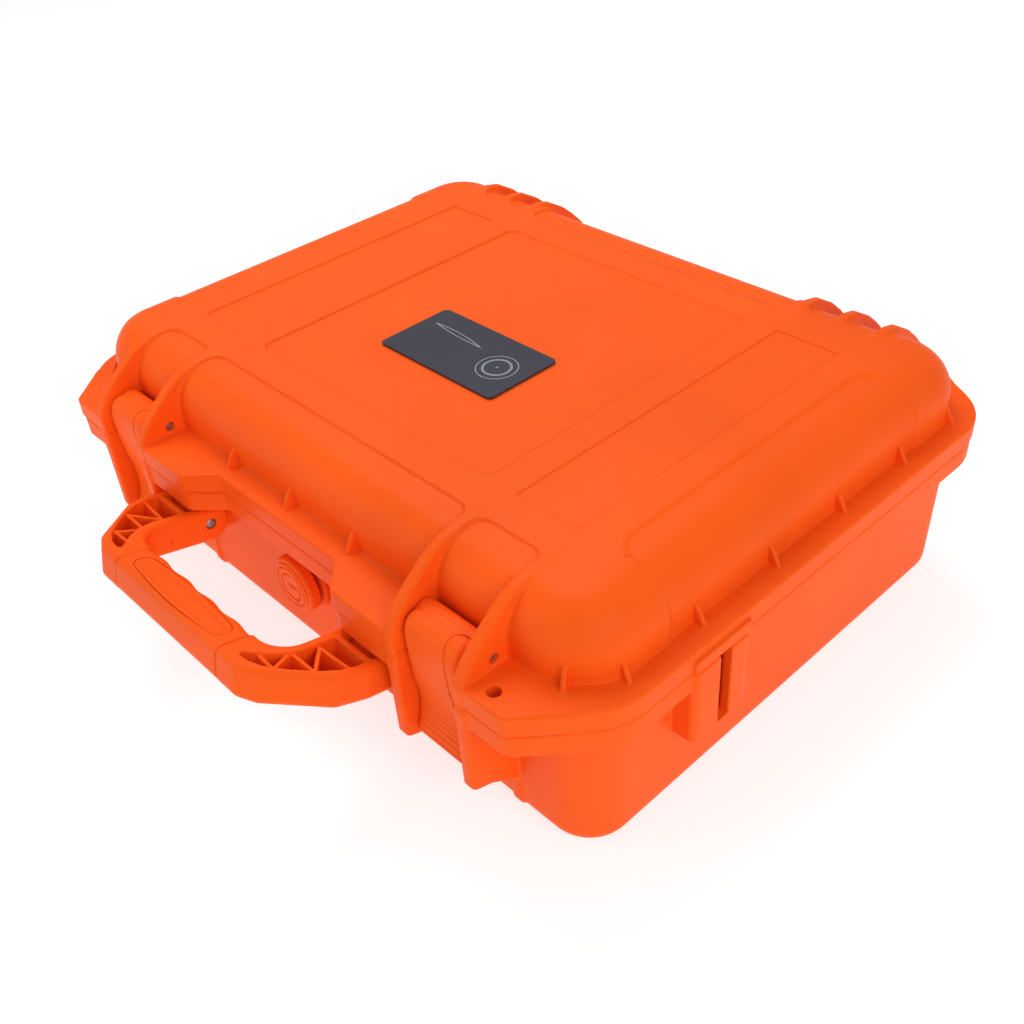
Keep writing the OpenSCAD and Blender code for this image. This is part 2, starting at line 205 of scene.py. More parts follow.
def sample(solid, low, high, h, mirrored):
    """The field on a regular grid, exact near the surface. Returns the grid and its first point."""
    low, high = np.array(low, float), np.array(high, float)
    if mirrored:
        low[0] = h / 2
    counts = np.ceil((high - low) / (h * BLOCK)).astype(int) + 1
    steps = np.stack(np.meshgrid(*[np.arange(n) for n in counts], indexing="ij"), -1).reshape(-1, 3)
    centres = (low + (steps * BLOCK + (BLOCK - 1) / 2) * h).astype(np.float32)
    rough = solid(centres[:, :1], centres[:, 1:2], centres[:, 2:])[:, 0]
    clip = 3 * h
    grid = np.empty(tuple(counts * BLOCK), np.float32)
    view = grid.reshape(counts[0], BLOCK, counts[1], BLOCK, counts[2], BLOCK)
    view[:] = np.clip(rough, -clip, clip).reshape(counts[0], 1, counts[1], 1, counts[2], 1)
    near = np.nonzero(np.abs(rough) < BLOCK * h * 0.87 * 1.15 + 2 * h)[0]
    inner = np.stack(np.meshgrid(*[np.arange(BLOCK)] * 3, indexing="ij"), -1).reshape(1, -1, 3)
    for first in range(0, len(near), 2500):
        part = steps[near[first:first + 2500]]
        at = (low + (part[:, None, :] * BLOCK + inner) * h).astype(np.float32)
        d = solid(at[..., 0], at[..., 1], at[..., 2])
        d = np.clip(d, -clip, clip).reshape(-1, BLOCK, BLOCK, BLOCK)
        view[part[:, 0], :, part[:, 1], :, part[:, 2], :] = d
    if mirrored:
        grid = np.concatenate([grid[::-1], grid])
        low[0] = -(counts[0] * BLOCK - 0.5) * h
    return grid, low


def slope(solid, p, step):
    """The field and its gradient at points p, mirrored fields being even in x."""
    corners = np.array([[1, -1, -1], [-1, -1, 1], [-1, 1, -1], [1, 1, 1]], float)
    total, gradient = 0, 0
    for c in corners:
        q = (p + c * step).astype(np.float64)
        d = solid(q[:, :1], q[:, 1:2], q[:, 2:])[:, 0]
        total = total + d
        gradient = gradient + c * d[:, None]
    return total / 4, gradient / (4 * step)


def surface(name, solid, low, high, h, mirrored=True, merge=0.02, place=None):
    """Meshes a solid in millimetres and returns it as an object in metres."""
    grid, origin = sample(solid, low, high, h, mirrored)
    volume = openvdb.FloatGrid(background=3 * h)
    volume.copyFromArray(grid)
    points, triangles, quads = volume.convertToPolygons(isovalue=0.0, adaptivity=merge)
    p = points.astype(float) * h + origin
    field = (lambda x, y, z: solid(np.abs(x), y, z)) if mirrored else solid
    for _ in range(3):
        d, g = slope(field, p, 0.04)
        move = -d[:, None] * g / np.maximum((g * g).sum(1), 0.25)[:, None]
        length = np.linalg.norm(move, axis=1)
        p += move * np.minimum(1, 0.7 * h / np.maximum(length, 1e-9))[:, None]
    _, g = slope(field, p, 0.08)
    normals = g / np.maximum(np.linalg.norm(g, axis=1), 1e-9)[:, None]
    if place is not None:
        turn = np.array(place.to_3x3())
        p = p @ turn.T + np.array(place.translation)
        normals = normals @ turn.T
    mesh = bpy.data.meshes.new(name)
    if place is not None and place.determinant() < 0:
        quads, triangles = quads[:, ::-1], triangles[:, ::-1]
    faces = quads.tolist() + triangles.tolist()
    mesh.from_pydata((p * MM).tolist(), [], faces)
    mesh.polygons.foreach_set("use_smooth", [True] * len(mesh.polygons))
    mesh.normals_split_custom_set_from_vertices(normals.tolist())
    obj = bpy.data.objects.new(name, mesh)
    bpy.context.scene.collection.objects.link(obj)
    print(name, len(p), "points", len(triangles) + 2 * len(quads), "triangles")
    return obj


# ---------- sizes, in millimetres ----------

label_low, label_high = node_mm("label_plate")
CASE_H = 116.5
SPLIT_Z = 78.0
LID_Z = 78.4                       # underside of the lid's flange
LID_FLANGE_TOP = 88.0
BASE_FLANGE_LOW = 67.7
WALL = 4.5
RIM_X = 179.3
RIM_Y = 134.7
RIM_R = 31.0
BAY_Y = 147.0
HINGE_BAY_Y = 140.0
LATCH_X, *LATCH_AXIS = middle_mm("latch_pin_right")
HINGE_AXIS = middle_mm("hinge_pin_right")[1:]
PIVOT = middle_mm("handle_screw_right")[1:]
VALVE_Z = middle_mm("valve_seat")[2]
BAY_W = 33.0
FIN_T = 5.5
TILT = math.radians(14)            # how far the handle's free edge is raised
PADLOCK = (140.4, -139.5)
FINS = (LATCH_X - BAY_W / 2 - FIN_T, LATCH_X + BAY_W / 2)
HINGE_FINS = (89.7, 110.0, 130.3)
HINGE_FIN_T = 5.0
HINGE_EYE_R = 6.0
HINGE_BORE_R = 2.07
KNUCKLES = (92.6, 112.9)           # where each hinge knuckle of the base starts
KNUCKLE_W = 14.5
LATCH_BORE_R = 1.8
LATCH_RECESS_R = 2.2
RECESS_DEPTH = 1.6
PADLOCK_R = 2.85
STRAP_Y = -64.0
STRAP_HALF = 16.0
SIDE_GUSSETS = (-66, -22, 22, 66)  # places of the small ribs along each short side
FRONT_GUSSETS = (0, 43.3)          # and along the front and back, mirrored
CORNER_GUSSETS = (14, 57)          # and round each corner, in degrees
LID_CORE = (141.0, 97.4)           # centre of the lid body's corner roundings
LID_R = 28.0
ROLL_R = 19.0
BASE_CORE = (149.5, 104.0)
BASE_R = 20.0


# ---------- rim ----------

FRONT_BAY = [(42.3, -116), (42.3, -RIM_Y), (55.7, -BAY_Y), (151.8, -BAY_Y), (171, -125.5), (150, -105)]
REAR_BAY = [(70, 116), (70, RIM_Y), (76, HINGE_BAY_Y), (150, HINGE_BAY_Y), (167, 127), (150, 105)]


def rim_slab(bottom, top, shrink, r, bay_r):
    """A flange: a rounded rectangle with chamfered bays for the latches and the hinges."""
    bays = [outline(points, bay_r)[0] for points in (FRONT_BAY, REAR_BAY)]

    def plan(x, y):
        d = rectangle(x, y, 0, 0, RIM_X - shrink, RIM_Y - shrink, RIM_R - shrink)
        for bay in bays:
            d = round_union(d, bay(x, y) + shrink, 1.5)
        return d

    reach = np.array([RIM_X + 1, BAY_Y + 1])
    return prism((plan, -reach, reach), Z, bottom, top, r)


# ---------- lid ----------

def lid_round(x, y, z):
    """The lid's plain rounded body."""
    rho = corner(np.abs(x) - LID_CORE[0], np.abs(y) - LID_CORE[1])
    return corner(rho - (LID_R - ROLL_R), z - (CASE_H - ROLL_R)) - ROLL_R


def lid_body(x, y, z):
    """The lid's body with its shallow windows and panels, hollow from below."""
    outer = lid_round(x, y, z)
    sink = 1.3 * smooth_step(rectangle(x, y, 0, -150, 87.4, 51, 6), 0.6)
    sink += 1.3 * smooth_step(rectangle(x, y, LATCH_X, -150, 16.4, 51, 5.5), 0.6)
    sink += 1.0 * smooth_step(rectangle(x, y, 191, -1, 49.5, 79, 11), 1.2)
    sink += 1.3 * smooth_step(rectangle(x, y, 0, 150, 83.5, 51, 6), 0.7)
    sink += 0.9 * smooth_step(131 - x, 1.0) * smooth_step(y + 113, 8.0)
    for middle in (99.85, 120.15):
        sink += 1.6 * smooth_step(rectangle(x, y, middle, 150, 7.4, 46.5, 7), 0.9)
    top = z > 110
    sink += np.where(top, 1.1 * smooth_step(rectangle(x, y, 0, -0.8, 78.1, 81.2, 6), 0.5), 0)
    sink += np.where(top, 0.8 * smooth_step(rectangle(x, y, 109.9, 0, 16.1, 81.7, 1), 0.28), 0)
    inner = lid_round(x, y, z) + WALL
    return round_cut(round_cut(outer + sink, inner, 0.8), z - LID_Z, 0.6)


LID_FIN = [(-92, 100), (-94, 116.3), (-101, 116.55), (-107.5, 116.45), (-112, 116.1), (-117.5, 114.8),
           (-122, 112.8), (-126, 110.2), (-133.5, 104.4), (-138.5, 100), (-142.8, 95.4), (-145.8, 90.8),
           (-147.2, 85.5), (-147.6, LID_Z), (-122, LID_Z), (-118, 95)]
HINGE_FIN = [(99, 104), (99.5, 116.2), (104.4, 116.9), (111.5, 117.4), (119.3, 115.6), (129.2, 109.7),
             (137.1, 103), (144.6, 95.3), (146.8, 90.5), (147, 84), (147, 77), (141, 72.4), (135.4, 77),
             (122, LID_Z), (116, 98)]
GUSSET = [(-3, 84), (4.3, 84), (4.3, 88.6), (3.3, 90.2), (0.6, 95.2), (-0.6, 96.4), (-3, 96.4)]


def turned(shape, cx, cy, angle):
    """A shape drawn along +x, turned about z and moved to (cx, cy)."""
    field, low, high = shape
    c, s = math.cos(angle), math.sin(angle)

    def moved(x, y, z):
        u, v = x - cx, y - cy
        return field(u * c + v * s, -u * s + v * c, z)

    reach = np.hypot(np.abs([low[0], high[0]]).max(), np.abs([low[1], high[1]]).max())
    return (moved, np.array([cx - reach, cy - reach, low[2]]),
            np.array([cx + reach, cy + reach, high[2]]))


def gusset(cx, cy, angle):
    return turned(prism(outline(GUSSET, 0.6), Y, -1.05, 1.05, 0.6), cx, cy, angle)


def with_padlock_hole(half):
    """Both sides of a shell from its right half, with the padlock hole on the right only."""
    shell = Solid(lambda x, y, z: half(np.abs(x), y, z))
    shell.cut(prism(disc(*PADLOCK, PADLOCK_R), Z, 55, 100), 0.25)
    return shell


def make_lid():
    lid = Solid(lid_body)
    lid.add(rim_slab(LID_Z, LID_FLANGE_TOP, 0.0, 1.1, 5), 1.0)
    lid.cut(prism(flat_box(LATCH_X, -160, BAY_W / 2, 34.4, 1), Z, 70, 96, 1))
    lid.cut(prism(flat_box(LATCH_X, 160, 25.5, 25.8, 1), Z, 70, 90, 1))
    lid.cut((lambda x, y, z: np.maximum(lid_round(x, y, z) + WALL, 60 - z), np.array([0, -122, 60]),
             np.array([166, 122, 100])), 0.5)
    for start in FINS:
        lid.add(prism(outline(LID_FIN, 1.2), X, start, start + FIN_T, 1.2), 1.0)
    for middle in HINGE_FINS:
        start, end = middle - HINGE_FIN_T / 2, middle + HINGE_FIN_T / 2
        lid.add(prism(outline(HINGE_FIN, 1.5), X, start, end, 1.2), 1.4)
        lid.add(prism(disc(*HINGE_AXIS, HINGE_EYE_R), X, start, end, 0.8))
    for y in SIDE_GUSSETS:
        lid.add(gusset(169, y, 0), 0.5)
    for side in (-1, 1):
        for angle in CORNER_GUSSETS:
            turn = math.radians(side * angle)
            lid.add(gusset(LID_CORE[0] + LID_R * math.cos(turn),
                           side * LID_CORE[1] + LID_R * math.sin(turn), turn), 0.5)
        for x in FRONT_GUSSETS:
            lid.add(gusset(x, side * 125.4, side * math.pi / 2), 0.5)
    lid.add(prism(flat_box(176, STRAP_Y, 5, STRAP_HALF, 1.2), Z, LID_Z, 84.2, 1.0), 0.6)
    for at, r, span in ((HINGE_AXIS, HINGE_BORE_R, (80, 140)), (LATCH_AXIS, LATCH_BORE_R, (80, 140)),
                        (LATCH_AXIS, LATCH_RECESS_R, (80, FINS[0] + RECESS_DEPTH)),
                        (LATCH_AXIS, LATCH_RECESS_R, (FINS[1] + FIN_T - RECESS_DEPTH, 140))):
        lid.cut(prism(disc(*at, r), X, *span), 0.25)
    groove = (lambda x, y, z: corner(np.abs(corner(np.abs(x) - BASE_CORE[0], np.abs(y) - BASE_CORE[1])
                                            - 19.3) - 1.7, np.abs(z - 79.9) - 2))
    lid.cut((groove, np.array([0, -126, 77]), np.array([172, 126, 82])))
    return surface("lid_moulding", with_padlock_hole(lid), (-182.5, -149.5, 70.5), (182.5, 149, 119),
                   FINE, mirrored=False)


# ---------- base ----------

def base_radius(z):
    """The base's walls lean in slightly towards the floor."""
    return BASE_R + 0.75 - (67 - z) * 0.021


def base_body(x, y, z):
    rho = corner(np.abs(x) - BASE_CORE[0], np.abs(y) - BASE_CORE[1])
    foot = 9.0
    outer = corner(rho - base_radius(z) + foot, foot - z) - foot
    outer = outer + 0.9 * smooth_step(rectangle(x, y, 0, 0, 146, 100, 12), 1.2) * (z < 4)
    for start in FINS:
        strip = np.abs(x - start - FIN_T / 2) - FIN_T / 2 + 0.4
        outer = outer - 1.1 * smooth_step(strip, 0.7) * (y < -90) * np.clip(z / 4, 0, 1)
    inner = corner(rho - base_radius(z) + WALL + 6, 11 - z) - 6
    return round_cut(np.maximum(outer, z - SPLIT_Z), inner, 0.7)


BASE_FIN = [(-110, 11), (-124, 20.4), (-138, 29.7), (-147.6, 33.2), (-147.6, 78), (-110, 78)]
KEEPER = [(-120, 46), (-132, 50.5), (-134.6, 53.5), (-134.6, 60), (-120, 67)]
LUG = [(-120, 45), (-131, 47.5), (-136.6, 50.8), (-140, 64), (-140, 69), (-120, 69)]
LUG_SPAN = (59.8, 77.2)
KNUCKLE = [(120, 50), (125.2, 51.5), (144.9, 73.8), (141, 78.2), (134.6, 78), (120, 78)]


def make_base():
    base = Solid(base_body)
    base.add(rim_slab(BASE_FLANGE_LOW, SPLIT_Z, 0.5, 1.2, 8), 1.5)
    base.cut(prism(flat_box(LATCH_X, -160, BAY_W / 2, 31.6, 1), Z, 60, 90, 1), 0.4)
    base.cut(prism(flat_box(LATCH_X, 160, 25.5, 25.8, 1), Z, 60, 90, 1), 0.4)
    base.cut((lambda x, y, z: np.maximum(
        corner(np.abs(x) - BASE_CORE[0], np.abs(y) - BASE_CORE[1]) - base_radius(z) + WALL, 55 - z),
        np.array([0, -122, 55]), np.array([167, 122, 82])), 0.5)
    for start in FINS:
        base.add(prism(outline(BASE_FIN, 4.2), X, start, start + FIN_T, 1.2), 1.6)
    base.add(prism(outline(KEEPER, 1.2), X, FINS[0] + 1, FINS[1] + FIN_T - 1, 0.5), 0.6)
    base.add(prism(outline(LUG, 1.5), X, *LUG_SPAN, 1.0), 1.0)
    base.add(prism(disc(*PIVOT, 7), X, *LUG_SPAN, 0.8), 0.6)
    for start in KNUCKLES:
        base.add(prism(outline(KNUCKLE, 1.2), X, start, start + KNUCKLE_W, 0.8), 1.2)
        base.add(prism(disc(*HINGE_AXIS, HINGE_EYE_R), X, start, start + KNUCKLE_W, 0.7), 0.4)
    base.add(prism(flat_box(174, STRAP_Y, 7, STRAP_HALF, 3), Z, 41, SPLIT_Z, 1.3), 1.2)
    base.cut(prism(flat_box(180, -62.5, 3.6, 3.2, 0.4), Z, 43, 90, 0.4), 0.5)
    base.cut(prism(flat_box(174.9, -63.5, 1.7, 9.5, 0.6), Z, 43, 90, 0.4), 0.3)
    base.cut(prism(disc(*HINGE_AXIS, HINGE_BORE_R), X, 80, 140), 0.25)
    base.cut(prism(disc(*PIVOT, 1.7), X, 50, 80), 0.25)
    base.cut(prism(disc(0, VALVE_Z, 9.1), Y, -130, -110), 0.3)
    return surface("base_moulding", with_padlock_hole(base), (-182.5, -149.5, -1.5), (182.5, 149, 86),
                   FINE, mirrored=False)


# ---------- handle ----------
# Drawn in its own plane: origin on the pivot, reach along -y, thickness along z.

HANDLE_X = 82.5
GAP_X = 53.9
REACH = 54.6
HANDLE_TOP = 7.5
HANDLE_LOW = -9.5
GRIP_X = 39.0
PAD_Y = -46.4
POCKET = [(44.4, -49.6), (52.5, -48.9), (58.5, -46.2), (65.4, -39.9), (72.6, -31.6), (76.6, -24.6),
          (78.2, -18), (78.2, -13.4), (58.4, -13.4), (58.4, -27), (57, -34), (52.4, -41.4), (47.5, -46.4)]
ZIGZAG = [(46, -42.8), (61, -43.6), (55.8, -32.4), (71.5, -32.2), (59.5, -21.5), (81, -20)]
BOW = outline([(-60, 40), (-60, -REACH), (51.6, -REACH), (60, -50.4), (79.6, -27.9), (HANDLE_X, -14),
               (HANDLE_X, 40)], 6)


def handle_body(x, y, z):
    """The bow seen from above, with round arm ends that are flat on top."""
    flat = np.abs(z - (HANDLE_TOP + HANDLE_LOW) / 2) - (HANDLE_TOP - HANDLE_LOW) / 2
    arm_end = np.maximum(np.hypot(y, z) + HANDLE_LOW, z - HANDLE_TOP)
    side = np.where(y > 0, arm_end, flat)
    edge = np.where(z > -1, 2.6, 4.2)
    return corner(BOW[0](x, y) + edge, side + edge) - edge


def polyline(x, y, points):
    d = np.full(x.shape, 1e9, x.dtype)
    for (ax, ay), (bx, by) in zip(points, points[1:]):
        ex, ey = bx - ax, by - ay
        t = np.clip(((x - ax) * ex + (y - ay) * ey) / (ex * ex + ey * ey), 0, 1)
        d = np.minimum(d, np.hypot(x - ax - t * ex, y - ay - t * ey))
    return d


def arm_pocket():
    """The pocket in the arm's upper side, less the zigzag rib that stands in it."""
    shape, low, high = prism(outline(POCKET, 1.2), Z, -5, 12, 0.8)

    def field(x, y, z):
        rib = corner(polyline(x, y, ZIGZAG) - 0.85, z - 6.3)
        return round_cut(shape(x, y, z), rib, 0.5)

    return field, low, high


def make_handle(place):
    bow = Solid(handle_body)
    bow.cut(prism(flat_box(0, 40, GAP_X, 77.5, 12), Z, -20, 20), 2.2)
    bow.cut(prism(flat_box(0, -50, GRIP_X, 20), Z, -20, 20), 0.5)
    bow.add(prism(flat_box(0, -46.2, GRIP_X + 2, 5.7, 0.5), Z, -6.4, 4.4, 0.5))
    bow.cut(arm_pocket(), 0.6)
    bow.cut(prism(flat_box(68.3, 5, 9.9, 15.5, 1), Z, -20, 20), 1.0)
    bow.cut(prism(disc(0, 0, 2.05), X, 50, 90), 0.3)
    bow.cut(prism(disc(0, 0, 2.6), X, 50, 55.4), 0.3)
    bow.cut(prism(disc(-20, -3.4, 0.8), X, 50, 54.6), 0.3)
    return surface("handle_bow", bow, (0, -56, -10.5), (84, 10.5, 9), SMALL, place=place)


def grip_pad(x, y, shrink=0.0):
    """Outline of the long pad on the grip, slimmer towards its ends."""
    slim = 2.4 * np.clip(np.abs(x) / 33.4, 0, 1) ** 2
    return rectangle(x, y, 0, PAD_Y, 33.4 - shrink, 6.7 - slim - shrink, 4.0 - shrink)


def make_grip(place):
    def body(x, y, z):
        wave = 0.55 * np.cos(x * (2 * math.pi / 18.5) + math.pi)
        front, back = -REACH - 0.1, -37.6 + wave
        middle, half = (front + back) / 2, (back - front) / 2
        centre, height = (HANDLE_TOP + HANDLE_LOW) / 2, (HANDLE_TOP - HANDLE_LOW) / 2 + 0.2
        r = np.where(z > centre, 3.6, 5.0)
        section = corner(np.abs(y - middle) - half + r, np.abs(z - centre) - height + r) - r
        return corner(section + 0.5, np.abs(x) - GRIP_X + 0.25 + 0.5) - 0.5

    grip = Solid(body)
    grip.cut(((lambda x, y, z: corner(grip_pad(x, y), 6.6 - z)), np.array([0, -54, 6]),
              np.array([35, -38, 10])), 0.3)
    grip.cut(prism(flat_box(0, -46.2, GRIP_X + 2, 5.9, 0.5), Z, -6.7, 4.7, 0.5))
    return surface("handle_grip_cover", grip, (0, -56, -11), (40, -36, 9), SMALL, place=place)


def make_inlay(place):
    def pad(x, y, z):
        edge = grip_pad(x, y)
        crown = 0.25 * np.clip(-edge / 5, 0, 1) - 0.3 * smooth_step(np.abs(edge + 2.6) - 0.5, 0.3)
        return corner(grip_pad(x, y, 0.25) + 0.3, np.abs(z - 7.05) - 0.4 - crown + 0.3) - 0.3

    return surface("grip_inlay", Solid(pad), (0, -54.5, 5.5), (34.5, -38.5, 9), 0.3, place=place)


# ---------- latches ----------

LEVER = [(-129, 94.6), (-131.6, 96.1), (-136.4, 96.7), (-139.5, 95.9), (-141.8, 93.6), (-143, 90),
         (-143.3, 86), (-142.9, 76), (-141.6, 66), (-139.9, 58), (-139.5, 51), (-140.4, 44),
         (-142.9, 36.2), (-141.6, 34.8), (-138.4, 34.8), (-135.8, 40), (-135.3, 46), (-135.3, 64),
         (-136.5, 70), (-136.5, 85), (-134.4, 88), (-129, 89.5)]
SEAM = [(17, 104.2), (10, 104.4), (8, 103.4), (7, 101.5), (6.9, 99), (7.8, 94), (8.4, 88), (8.6, 80),
        (8.8, 72), (9.2, 64), (9.6, 58)]


def make_lever(name, middle):
    """A latch lever. One thin seam line runs down the right of its front face."""
    profile = outline(LEVER, 0.9)[0]

    def body(x, y, z):
        ridge = 0.5 + 0.5 * np.cos(2 * math.pi * (z - 37) / 2.55)
        fade = smooth_step(np.abs(x) - 14, 0.8) * smooth_step(np.abs(z - 47.5) - 11, 3.0)
        r = 1.6 + 2.4 * smooth_step(68 - z, 8)
        d = corner(profile(y, z) + r, np.abs(x) - 16 + r) - r
        return d - 0.3 * ridge * fade * (y < -138)

    def seam(x, y, z):
        line = polyline(x, z + 0.8 * (y + 143.5), SEAM) - 0.32
        return np.maximum(line, np.abs(body(x, y, z)) - 0.4)

    lever = Solid(body)
    lever.add(prism(disc(*LATCH_AXIS, 5.2), X, -16, 16, 0.6), 0.8)
    lever.cut((seam, np.array([6, -145, 57]), np.array([17, -133, 98])), 0.1)
    lever.cut(prism(flat_box(-129.6, 99, 2.4, 2.5, 0.3), X, -5, 20), 0.3)
    lever.cut(prism(disc(*LATCH_AXIS, 1.82), X, -17, 17), 0.2)
    return surface(name, lever, (-17, -145.5, 33.5), (17.2, -125, 98.5), SMALL, mirrored=False,
                   place=Matrix.Translation((middle, 0, 0)))


# ---------- pressure valve ----------

KNOB_R = 13.8
KNURLS = 36

def make_knob():
    def body(x, y, z):
        v = z - VALVE_Z
        rho, turn = np.hypot(x, v), np.arctan2(v, x)
        knurl = 0.35 * (0.5 - 0.5 * np.cos(turn * KNURLS))
        disc_part = corner(rho - KNOB_R + knurl + 1.3, np.abs(y + 130.7) - 2.7 + 1.3) - 1.3
        face = corner(rho - 11.6 + 0.7, np.abs(y + 131.5) - 2.9 + 0.7) - 0.7
        stem = corner(rho - 5.98, np.abs(y + 122) - 8)
        return np.minimum(round_union(disc_part, face, 0.5), stem)

    def swirl(x, y, z):
        v = z - VALVE_Z
        rho, turn = np.hypot(x, v), np.arctan2(v, x)
        ring = np.abs(rho - 9.8) - 0.35
        arc = np.maximum(np.abs(rho - 6.6) - 0.35, (0.5 - np.abs(turn - 0.9)) * 6.6)
        bar = corner(np.abs(x - 1.2) - 3.2, np.abs(v - 1.0) - 0.4)
        return np.maximum(np.minimum(np.minimum(ring, arc), bar), y + 134.0)

    knob = Solid(body)
    box_low, box_high = np.array([-12, -137, VALVE_Z - 12]), np.array([12, -134, VALVE_Z + 12])
    knob.cut((swirl, box_low, box_high), 0.25)
    knob.cut(prism(disc(2.7, VALVE_Z - 7, 0.8), Y, -137, -133), 0.15)
    knob.cut(prism(disc(0, VALVE_Z, 3.5), Y, -120, -112), 0.3)
    reach = 15.5
    return surface("valve_cap", knob, (-reach, -137.5, VALVE_Z - reach), (reach, -112.5, VALVE_Z + reach),
                   SMALL, mirrored=False)


def make_seat():
    def body(x, y, z):
        rho = np.hypot(x, z - VALVE_Z)
        ring = corner(rho - 14.6 + 0.7, np.abs(y + 125.4) - 1.2 + 0.7) - 0.7
        tube = corner(rho - 9, np.abs(y + 118.5) - 6.5)
        return round_cut(np.minimum(ring, tube), rho - 6.06, 0.3)

    seat = Solid(body)
    return surface("valve_ring", seat, (0, -128, VALVE_Z - 17.5), (17.5, -111, VALVE_Z + 17.5), SMALL)


# ---------- small metal pieces ----------

def make_screw(name, side):
    """Pan head with a cross recess, looking towards the middle of the handle."""
    def body(x, y, z):
        rho = np.hypot(y - PIVOT[0], z - PIVOT[1])
        dome = np.maximum(np.hypot(rho, x - 57.5) - 3.6, x - 55.35)
        shank = corner(rho - 1.95, np.abs(x - 57) - 2)
        thread = corner(rho - 1.42 - 0.06 * np.cos(x * 2 * math.pi / 0.7), np.abs(x - 66) - 7.2)
        return round_union(np.minimum(dome, np.maximum(rho - 2.2, np.abs(x - 55) - 0.35)),
                           np.minimum(shank, thread), 0.2)

    screw = Solid(body)
    for a, b in ((1.5, 0.35), (0.35, 1.5)):
        screw.cut(((lambda x, y, z, a=a, b=b: corner(
            corner(np.abs(y - PIVOT[0]) - a, np.abs(z - PIVOT[1]) - b), x - 54.5)),
            np.array([53, PIVOT[0] - 3, PIVOT[1] - 3]), np.array([55, PIVOT[0] + 3, PIVOT[1] + 3])), 0.08)
    mirror = Matrix.Scale(side, 4, Vector((1, 0, 0)))
    return surface(name, screw, (52.6, PIVOT[0] - 4, PIVOT[1] - 4), (74.5, PIVOT[0] + 4, PIVOT[1] + 4),
                   0.24, mirrored=False, place=mirror)


def make_pin(name, node, axis_at):
    """A steel pin along x with chamfered ends."""
    low, high = node_mm(node)
    r, start, end = (high[2] - low[2]) / 2, low[0], high[0]
    bevel, sides = 0.35, 40
    rings = [(start, r - bevel), (start + bevel, r), (end - bevel, r), (end, r - bevel)]
    points = [(x, axis_at[0] + q * math.cos(t), axis_at[1] + q * math.sin(t)) for x, q in rings
              for t in (2 * math.pi * i / sides for i in range(sides))]
    faces = [tuple(range(sides)), tuple(range(3 * sides, 4 * sides))[::-1]]
    for ring in range(3):
        for i in range(sides):
            j = (i + 1) % sides
            a, b = ring * sides, (ring + 1) * sides
            faces.append((a + i, b + i, b + j, a + j))
    mesh = bpy.data.meshes.new(name)
    mesh.from_pydata([tuple(c * MM for c in p) for p in points], [], faces)
    mesh.validate()
    obj = bpy.data.objects.new(name, mesh)
    bpy.context.scene.collection.objects.link(obj)
    return obj


# ---------- foam ----------

POCKETS = (((-75, 10), (70, 88)), ((82, 52), (64, 46)), ((50, -50), (32, 36)), ((122, -50), (24, 36)))


def make_foam_pad():
    def block(x, y, z):
        side = rectangle(x, y, 0, 0, 163.3, 117.8, 13) + 5.5 * np.clip((20 - z) / 15, 0, 1) ** 2
        return corner(side + 1.2, np.abs(z - 12.65) - 7.45 + 1.2) - 1.2

    return surface("foam_floor", Solid(block), (0, -120, 3), (165, 120, 22), 1.6)


def make_foam_base():
    def block(x, y, z):
        side = rectangle(x, y, 0, 0, 163.3, 117.8, 13)
        return corner(side + 1.2, np.abs(z - 47.15) - 26.95 + 1.2) - 1.2

    foam = Solid(block)
    for (cx, cy), (hx, hy) in POCKETS:
        foam.cut(prism(flat_box(cx, cy, hx + 0.3, hy + 0.3, 5), Z, 10, 90, 1.5), 1.4)
    foam.cut(prism(flat_box(0, -120, 17.4, 9.5, 1), Z, 30.5, 90), 1.0)
    return surface("foam_block", foam, (-165, -120, 18), (165, 120, 77), 1.6, mirrored=False)


def make_foam_lid():
    pitch = 19.0

    def sheet(x, y, z):
        bumps = 0.5 + 0.5 * np.cos(x * 2 * math.pi / pitch) * np.cos(y * 2 * math.pi / pitch)
        side = rectangle(x, y, 0, 0, 148, 104, 16)
        return corner(corner(side + 1, z - 111.4 + 1) - 1, (84.3 + 6.5 * bumps - z) * 0.6)

    return surface("foam_sheet", Solid(sheet), (0, -106, 82.5), (150, 106, 114), 1.6)


# ---------- label print ----------

def ribbon(points, width, closed):
    """Flat strip along a line of points, as vertices and faces."""
    p = np.array(points, float)
    n = len(p)
    ahead = np.roll(p, -1, 0) - p
    behind = p - np.roll(p, 1, 0)
    if not closed:
        ahead[-1], behind[0] = behind[-1], ahead[0]
    along = ahead / np.linalg.norm(ahead, axis=1)[:, None]
    along += behind / np.linalg.norm(behind, axis=1)[:, None]
    along /= np.linalg.norm(along, axis=1)[:, None]
    out = np.stack([-along[:, 1], along[:, 0]], 1) * width / 2
    faces = [(i, n + i, n + (i + 1) % n, (i + 1) % n) for i in range(n if closed else n - 1)]
    return np.concatenate([p + out, p - out]), faces


